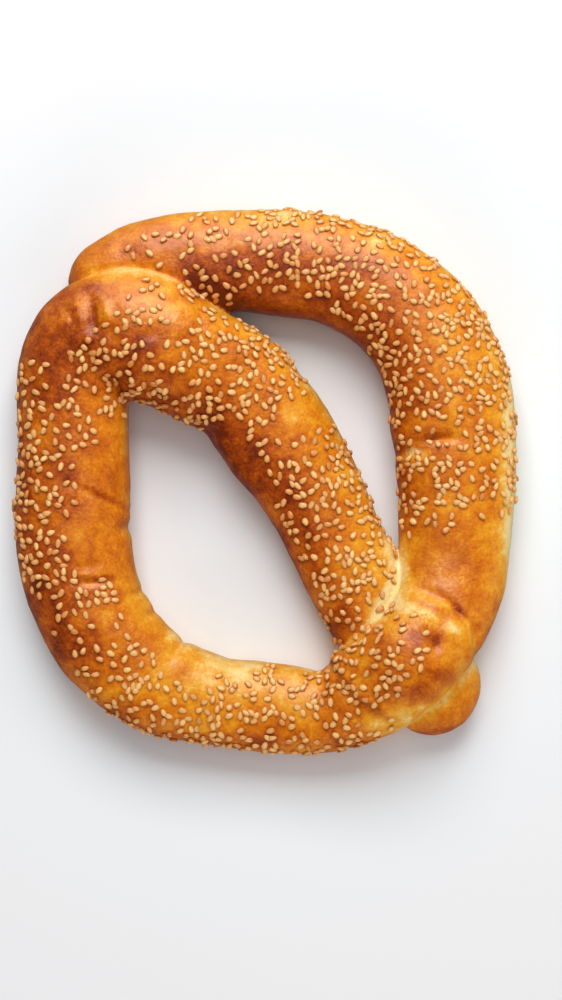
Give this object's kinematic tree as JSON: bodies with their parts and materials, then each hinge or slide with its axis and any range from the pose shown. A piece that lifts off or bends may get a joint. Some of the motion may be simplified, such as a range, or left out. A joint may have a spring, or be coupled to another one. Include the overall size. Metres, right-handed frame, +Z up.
{
  "type": "simit",
  "caption": "Sesame-crusted ring bread: a rope of dough bent back across its own hoop, knotted at one corner and baked golden brown.",
  "frame": {"origin": "middle of the outline, on the flat baked base", "axes": "+X to the right and +Y away from the reader as the bread is seen from above, with the bend at -X +Y and the knot at +X -Y; +Z up out of the tray"},
  "size_m": [0.1798, 0.1956, 0.0409],
  "materials": {
    "crust": "baked crust, egg-washed: golden brown with a soft gloss, paler at seams and sides",
    "sesame": "toasted hulled sesame seed, cream to light brown, satin"
  },
  "bodies": {
    "root": {"simit": "crust"}
  },
  "joints": []
}
